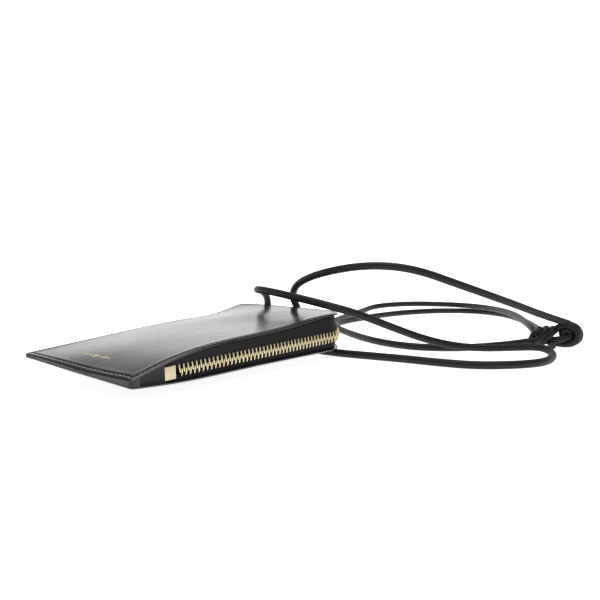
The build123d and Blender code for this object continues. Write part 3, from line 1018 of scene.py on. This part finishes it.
# %% Slider body
slider_matrix = chain_matrix(end_offset + slider_middle)
plate_low, plate_high = 1.45, 2.25
bm = bmesh.new()
face_outline = rounded_outline(4.5, 4.2, 1.6)
face_outline[:, 1] *= 1 - 0.16 * np.clip((1.0 - face_outline[:, 0]) / 5.5, 0, 1)
add_plate(bm, face_outline, plate_low, plate_high, 0.25)
add_plate(bm, face_outline, -plate_high, -plate_low, 0.25)
overlap = 0.05  # how far the flanges and the wedge go into the plates
for low_y, high_y in ((3.32, 4.0), (-4.0, -3.32)):
    for low_z, high_z in ((0.45, plate_low + overlap), (-plate_low - overlap, -0.45)):
        rounded_block(bm, (-2.6, low_y, low_z), (2.9, high_y, high_z), 0.12, 2)
wedge_low, wedge_high = (1.0, -1.1, -plate_low - overlap), (4.4, 1.1, plate_low + overlap)
rounded_block(bm, wedge_low, wedge_high, 0.35, 2)
lug_along, lug_up, lug_reach, pin_out = -2.6, 2.05, 2.6, 3.75
for side in (1, -1):
    rounded_block(
        bm, (lug_along - 1.3, side * lug_up - 0.45, plate_high - 0.1),
        (lug_along + 1.3, side * lug_up + 0.45, plate_high + lug_reach), 0.22,
    )
slider_metal = finished("slider_metal", bm, slider_matrix, slider_gold)

# %% The pin, with domed ends
pull_matrix = slider_matrix @ Matrix.Translation((lug_along, 0, pin_out))
pin_profile = [(0.30, -2.62), (0.5, -2.56), (0.6, -2.42), (0.6, 2.42), (0.5, 2.56), (0.30, 2.62)]
bm = bmesh.new()
add_skin(bm, [[(r * cos(t), r * sin(t), up) for t in around(24)] for r, up in pin_profile])
pin_matrix = pull_matrix @ Matrix.Rotation(-pi / 2, 4, "X")
pin_metal = finished("pull_pin_metal", bm, pin_matrix, slider_gold)

# %% [markdown]
# The pull is a flat bar with an eye for the pin at one end and a small hole at the other. A flat
# face with a hole is easiest as a ring of loops with as many points each, some round the hole and
# some round the edge.

# %% The pull
pull_end, pull_half, hole_radius = 13.0, 2.6, 1.3
hole_along, pull_start = pull_end - pull_half, 3.6
directions = around(64) - pi
hole = np.array([(hole_along + hole_radius * cos(t), hole_radius * sin(t)) for t in directions])
edge = []
for t in directions:
    reach = pull_half
    if cos(t) <= 0:
        to_side, to_start = max(abs(sin(t)), 1e-6), max(-cos(t), 1e-6)
        reach = min(pull_half / to_side, (hole_along - pull_start) / to_start)
    edge.append((hole_along + reach * cos(t), reach * sin(t)))
edge = np.array(edge)
edge[:, 1] *= 1 - 0.42 * np.clip((9.0 - edge[:, 0]) / 5.4, 0, 1) ** 1.5
bm = bmesh.new()
add_plate(bm, edge, -0.6, 0.6, 0.2, hole)
rounded_block(bm, (1.0, -1.42, -0.58), (4.4, 1.42, 0.58), 0.2)
eye_profile = [(1.4, -1.25), (1.4, 1.25), (1.2, 1.43), (0.72, 1.43), (0.72, -1.43), (1.2, -1.43)]
eye = [[(r * cos(t), up, -r * sin(t)) for t in around(32)] for r, up in eye_profile]
add_skin(bm, eye, ring=True)
pull_metal = finished("pull_metal", bm, pull_matrix, slider_gold)

# %% [markdown]
# ## The leather tab
#
# A strap sewn under the back panel's edge folds round the cord and back. Seen from its side it is
# one closed outline with a hole, and its strap end follows the panel above it. So the outline is
# worked out again at each place across the strap, and the outlines are joined.

# %% The strap and its loop round the cord
tab_middle, tab_half, tab_grip, strap_thickness = 57.0, 4.7, 8.8, 2.0
loop_inner, loop_outer = 2.2, 3.2
loop_along, loop_up = pouch_length + 13.2 - loop_outer, 12.0
strap_gap = 0.15  # between the strap and the panel


def tab_outline(across, pinch):
    """Places (along, up) round the strap and loop, from the strap's end and back."""
    stations = np.linspace(pouch_length - tab_grip, pouch_length, 12)
    top = heights_at(back_heights, [(x, across) for x in stations]) - strap_gap - pinch
    bottom = top - strap_thickness + 2 * pinch
    radius, turns = loop_outer - pinch, np.radians(np.linspace(-162, 162, 41))
    ring = [(loop_along + radius * cos(t), loop_up + radius * sin(t)) for t in turns]

    def bridge(edge, end):
        shares = np.linspace(0, 1, 6)[1:-1]
        eases = shares * shares * (3 - 2 * shares)
        run = pouch_length + shares * (end[0] - pouch_length)
        return [*zip(run, (1 - eases) * edge + eases * end[1])]

    there = [*zip(stations, bottom), *bridge(bottom[-1], ring[0])]
    back = [*zip(stations, top), *bridge(top[-1], ring[-1])]
    return there + ring + back[::-1]


print("the tab's outline has", len(tab_outline(tab_middle, 0.0)), "points")

# %% Join the outlines across the strap
rim_steps = [(0.0, 0.28), (0.06, 0.12), (0.2, 0.03), (0.4, 0.0)]  # how the strap's rims are rounded
tab_stations = [(step - tab_half, pinch) for step, pinch in rim_steps]
tab_stations += [(step, 0.0) for step in np.linspace(0.9 - tab_half, tab_half - 0.9, 12)]
tab_stations += [(tab_half - step, pinch) for step, pinch in rim_steps[::-1]]
tab_loops, bore_loops = [], []
for offset, pinch in tab_stations:
    across, bore = tab_middle + offset, loop_inner + pinch * 0.6
    outline = tab_outline(across, pinch)
    turns = [atan2(up - loop_up, along - loop_along) for along, up in outline]
    tab_loops.append([spot(along, across, up) for along, up in outline])
    bore_loops.append([
        spot(loop_along + bore * cos(t), across, loop_up + bore * sin(t)) for t in turns
    ])
tab_leather = skinned("tab_leather", tab_loops + bore_loops[::-1], black_leather, ring=True)

# %% [markdown]
# ## The knot
#
# The cord's ends are tied in a sliding knot: two and a half turns round the strands, and two rings
# side by side where the cord doubles back. Each is a curve of the cord's thickness, through a few
# points given along, across and above the knot's own line. They sink into each other a little
# where the soft cord is pulled tight.

# %% The knot's own line
knot_heading = radians(-49.2)
knot_along = Vector((cos(knot_heading), sin(knot_heading), 0))
knot_across = Vector((sin(knot_heading), -cos(knot_heading), 0))
knot_foot = spot(246.5, -62.8, 0)


def knot_spot(along, across, up):
    """A place in mm along, across and above the knot's line, in metres."""
    return knot_foot + (knot_along * along + knot_across * across + Vector((0, 0, up))) * mm


print("the knot points", round(knot_heading, 2), "radians round")

# %% The turns round the strands
wrap_radius, wrap_height, wrap_length = 4.3, 6.8, 10.0
wrap_turns, wrap_slant, points_per_turn = 2.5, 0.75, 10
wrap_start, wrap_phase = -0.4, 0.9
wrap_line = []
wrap_steps = round(wrap_turns * points_per_turn)
for step in range(wrap_steps + 1):
    turn, share = wrap_phase - 2 * pi * step / points_per_turn, step / wrap_steps
    radius = wrap_radius * (1.05 - 0.10 * (2 * share - 1) ** 2)
    up = radius * cos(turn)
    along = wrap_start + share * wrap_length + wrap_slant * up
    wrap_line.append((along, radius * sin(turn), wrap_height + up))
print("wrapped", wrap_turns, "times")

# %% The rings, turned so that the nearer one is a little to the left of the farther one
ring_middle, ring_turn = 20.0, radians(35)


def turned_ring(places):
    """Turns the far part of a ring about the upright through its middle."""
    moved = []
    for along, across, up in places:
        turn = ring_turn * min(1.0, max(0.0, (along - 8.0) / 8.0))
        out = along - ring_middle
        along = ring_middle + out * cos(turn) - across * sin(turn)
        moved.append((along, out * sin(turn) + across * cos(turn), up))
    return moved


half_ring = [
    (7, 0.6, 6.5), (11, 1.6, 8.6), (15.3, 1.9, 12.2), (20.2, 1.95, 13.8), (25.2, 1.95, 12.0),
    (27.2, 1.95, 7.6), (25.2, 1.95, 3.5), (20.2, 1.95, 2.15), (15, 1.7, 2.3), (10, 1.2, 3.6),
    (7, 0.6, 4.6),
]
tucked_end = [
    (6, 2.3, 4.2), (11, 3.4, 4.6), (16.5, 3.4, 5.6), (21.0, 2.6, 6.6), (22.0, 1.4, 9.2),
    (18.6, 0.9, 10.6), (16.2, 0.4, 8.6), (18.2, 0.2, 6.6), (20.2, -0.6, 8.2),
]
ring_lines = [turned_ring([(x, side * y, z) for x, y, z in half_ring]) for side in (1, -1)]
places_in_knot = (wrap_line, *ring_lines, tucked_end)
knot_lines = [[knot_spot(*place) for place in line] for line in places_in_knot]
knot_turns = cord_through("knot_turns", knot_lines, knot_steps, cord_leather)

# %% [markdown]
# One end of the cord comes out under the turns and is cut off square. The cut shows the pale raw
# middle of the leather, with darker dye at its rim, so the tail is a mesh of its own whose end
# faces have another finish. That finish, like the thread and the foil below, is one noise that
# drives the colour, the roughness and the bump together. The table below takes only its colour
# from its noise.


# %% A finish from one noise
def speckled(name, dark, light, size_mm, detail, rough, depth_mm, spread=0.5, **constants):
    """A material whose colour, roughness and height follow one noise.

    rough is the least roughness and what the noise adds. spread is the noise's own roughness."""
    paint = Paint(bpy.data.materials.new(name))
    noise = paint.noise(paint.place(), size_mm, detail, spread)
    least, more = rough
    roughness = least + noise * more if more else least
    if depth_mm:
        paint.bump(noise, depth_mm)
    print(name, "is speckled")
    colour = paint.mixed(noise, dark, light)
    return paint.join(Base_Color=colour, Roughness=roughness, **constants)


raw_leather = speckled(
    "raw_cut_leather", (0.014, 0.012, 0.011), (0.045, 0.038, 0.032), 0.5, 5.0, (0.8, 0.1), 0.15, 0.7
)

# %% The cut tail
tail_line = [
    (9.2, 0.5, 3.4), (9.3, 2.6, 2.9), (9.1, 4.4, 2.4), (8.8, 6.0, 2.2), (8.5, 7.6, 2.15),
    (8.2, 9.0, 2.15),
]
tail_radius = cord_thickness / 2 * mm
centres = [knot_spot(*place) for place in tail_line]
tail_loops = []
for before, centre, after in zip(centres[:1] + centres, centres, centres[1:] + centres[-1:]):
    ahead = (after - before).normalized()
    side_way = ahead.cross(Vector((0, 0, 1))).normalized()
    up_way = side_way.cross(ahead)
    tail_loops.append([
        centre + (side_way * cos(t) + up_way * sin(t)) * tail_radius for t in around(24)
    ])
rim = tail_loops[-1]
for share, out in ((0.93, 0.14), (0.55, 0.22)):
    tail_loops.append([centre + (point - centre) * share + ahead * (out * mm) for point in rim])
knot_end = skinned("knot_tail_cord", tail_loops, cord_leather)
knot_end.data.materials.append(raw_leather)
for face in knot_end.data.polygons:
    if min(face.vertices) >= len(centres) * len(rim):
        face.material_index = 1
for strand in (front_strand, arch_strand, loop_strand):
    strand.data.materials.append(cord_leather)

# %% [markdown]
# ## Stitches
#
# Two rows of saddle stitches hold the panels, one on each face, all the way round. The thread is
# waxed and black, so it shows only as a fine beaded line. Each stitch is a short bead of thread
# that dives into the leather at both ends. All of one panel's stitches are one object.

# %% Thread
waxed_thread = speckled(
    "waxed_thread", (0.010, 0.010, 0.010), (0.030, 0.029, 0.028), 0.18, 2.0, (0.65, 0.15), 0.04,
    Specular_IOR_Level=0.2,
)
stitch_pitch, stitch_length, stitch_slant, thread_radius = 3.0, 2.3, 0.28, 0.17


def beads_of_thread(name, outer, side):
    """Stitches on a panel's outer face. side is 1 for the front and -1 for the back."""
    line = ring_of(outline_sides(seam_inset, (0, 0, plain_end_seam - seam_inset, 0)))
    line = np.concatenate([line, line[:1]])
    run = np.concatenate([[0], np.cumsum(np.linalg.norm(np.diff(line, axis=0), axis=1))])
    count = round(run[-1] / stitch_pitch)
    stations = np.linspace(-0.5, 0.5, 7)
    rise = 0.12 - 0.42 * np.abs(2 * stations) ** 3
    turns = around(8)
    stitches = []
    for number in range(count):
        at = (number + 0.5) * run[-1] / count + stations * stitch_length
        centres = np.stack([np.interp(at, run, line[:, k]) for k in (0, 1)], 1)
        way = centres[-1] - centres[0]
        aside = np.array([-way[1], way[0]]) / np.linalg.norm(way)
        centres = centres + aside * (stations * stitch_slant)[:, None]
        levels = outer(centres, seam_line(centres)) + side * rise
        loops = []
        for centre, level in zip(centres, levels):
            places = centre + np.outer(np.cos(turns), aside) * thread_radius
            loops.append(in_scene(places, level + np.sin(turns) * thread_radius))
        stitches.append((np.concatenate(loops), skin(numbered(loops)[::-1])))
    print(name, count, "stitches")
    return joined(name, stitches, waxed_thread)


front_stitches = beads_of_thread("front_stitches", front_outer, 1)
back_stitches = beads_of_thread("back_stitches", back_outer, -1)

# %% [markdown]
# ## A small foil ornament
#
# Near the plain end a little gold foil is pressed into the front. Here it is a plain motif of
# lozenges and dots, a common bookbinder's ornament. Foil is thinner than paper, so each bit is a
# flat outline that follows the leather a few hundredths of a millimetre above it.

# %% Foil lozenges and dots
foil_gold = speckled(
    "pressed_foil", (0.52, 0.45, 0.27), (0.80, 0.72, 0.48), 0.6, 4.0, (0.42, 0.2), 0.01, 0.6,
    Metallic=0.6,
)
foil_along, foil_middle, foil_lift = 14.1, 45.9, 0.035
past_the_seam = 20.0  # an inset at which the leather has no groove
foil_bits = [(0.0, 2.8, 2.0, 4)]  # how far from the middle, half its two sizes, and its corners
for side in (1, -1):
    foil_bits += [(side * 4.2, 0.7, 0.9, 12), (side * 7.6, 2.0, 1.5, 4)]
    foil_bits.append((side * 10.8, 0.6, 0.8, 12))
foil_parts = []
for offset, half_across, half_along, corners in foil_bits:
    loops = []
    for share, dip in ((1.0, 0.06), (0.94, 0.0), (0.5, 0.0)):
        x = foil_along + share * half_along * np.cos(around(corners))
        y = foil_middle + offset + share * half_across * np.sin(around(corners))
        outline = np.stack([x, y], 1)
        if corners == 4:
            sides = np.roll(outline, -1, axis=0) - outline
            quarters = [outline + sides * t for t in (0.0, 0.25, 0.5, 0.75)]
            outline = np.stack(quarters, 1).reshape(-1, 2)
        level = front_outer(outline, np.full(len(outline), past_the_seam)) + foil_lift - dip
        loops.append(in_scene(outline, level))
    numbers = numbered(loops)
    foil_parts.append((np.concatenate(loops), [*bands(numbers[::-1]), numbers[-1]]))
foil = joined("foil_ornament", foil_parts, foil_gold)

# %% [markdown]
# ## Floor, backdrop and light
#
# The pouch lies on a plain white table in front of a white wall. Black leather shows only what it
# mirrors, so the surroundings decide its looks. The wall is bright low down and dark above, and the
# sloping front mirrors that as a pale patch that fades to black where the leather tilts towards the
# viewer. The side that the viewer stands on is dimmer. A large soft light overhead lights the table
# and gives the thin lines along the cord.

# %% Table
white_table = speckled(
    "white_table", (0.89, 0.89, 0.89), (0.92, 0.92, 0.92), 400.0, 2.0, (0.9, 0), 0,
    Specular_IOR_Level=0.1, Emission_Color=(1, 1, 1, 1), Emission_Strength=0.85,
)
table_mesh = bpy.data.meshes.new("table")
bm = bmesh.new()
bmesh.ops.create_grid(bm, x_segments=4, y_segments=4, size=15.0)
bm.to_mesh(table_mesh)
bm.free()
table_top = placed("table", table_mesh, white_table)
bpy.context.scene.view_settings.view_transform = "Standard"

# %% The room that the leather mirrors
wall_bright, ceiling_bright, wall_top, ceiling_start = 1.5, 0.12, 0.28, 0.50
viewer_side, side_start, side_end = 0.5, 0.1, 0.75
world = bpy.data.worlds.new("studio")
bpy.context.scene.world = world
room = Paint(world, "Background")
direction = room.node("ShaderNodeTexCoord")
behind = Vector((looking.x, looking.y, 0)).normalized()
height = room.node("ShaderNodeSeparateXYZ", None, direction, output=2)
depth = room.node("ShaderNodeVectorMath", {"operation": "DOT_PRODUCT"}, direction, behind, output=1)
smooth = {"interpolation_type": "SMOOTHSTEP"}
by_height = room.node(
    "ShaderNodeMapRange", smooth, height, wall_top, ceiling_start, wall_bright, ceiling_bright
)
by_depth = room.node("ShaderNodeMapRange", smooth, depth, side_start, side_end, viewer_side, 1.0)
room.join(Color=(1, 1, 1, 1), Strength=by_height * by_depth)
print("the room's wall is", wall_bright, "bright and its ceiling", ceiling_bright)

# %% The light overhead
overhead = bpy.data.lights.new("overhead", "AREA")
overhead.shape = "RECTANGLE"
overhead.size = overhead.size_y = 1.8
overhead.energy = 22
placed("overhead", overhead).location = spot(75, 42, 1610)
print("overhead", overhead.energy, "W")

# %% [markdown]
# ## Fasten every piece to its body
#
# Each piece rides on a body of the frame, so that it moves as the real one does. The CAD pieces
# that it stands for are hidden.

# %% Ride and replace
on_pouch = {
    "outer_leather": [
        (front_leather, "front_panel"), (back_leather, "back_panel"), (front_stitches,),
        (back_stitches,), (start_gusset, "zip_start_gusset"), (end_gusset, "zip_end_gusset"),
        (tab_leather, "cord_tab"),
    ],
    "lining_fabric": [
        (front_lining, "front_lining"), (back_lining, "back_lining"), (pocket, "card_pocket"),
    ],
    "edge_leather": [(end_filler, "end_seam_filler"), (side_filler, "side_seam_filler")],
    "zip_tape": [(upper_tape, "zip_tape_upper"), (lower_tape, "zip_tape_lower")],
    "zip_metal": [
        (upper_row, "upper_teeth", "upper_teeth_in_slider_travel"),
        (lower_row, "lower_teeth", "lower_teeth_in_slider_travel"),
        (bottom_block, "bottom_stop"), (upper_stop, "top_stop_upper"),
        (lower_stop, "top_stop_lower"), (foil,),
    ],
    "cord_leather": [
        (front_strand, "neck_cord_front"), (arch_strand, "neck_cord_arch"),
        (loop_strand, "neck_cord_bight"), (knot_turns, "neck_knot"), (knot_end, "knot_tail"),
    ],
}
on_slider = {"zip_metal": [(slider_metal, "slider_body"), (pin_metal, "pull_pin")]}
on_pull = {"zip_metal": [(pull_metal, "zip_pull")]}
count = 0
for body, finishes in (("pouch", on_pouch), ("slider", on_slider), ("pull", on_pull)):
    for finish, pieces in finishes.items():
        for piece, *nodes in pieces:
            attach(piece, body)
            if nodes:
                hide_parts(*nodes)
            count += 1
print(count, "pieces ride")

# %% Where the cord leaves the tab and where it enters the knot
tab_hole = spot(156, 57, 12)
knot_entry = spot(246.5, -62.8, 4)
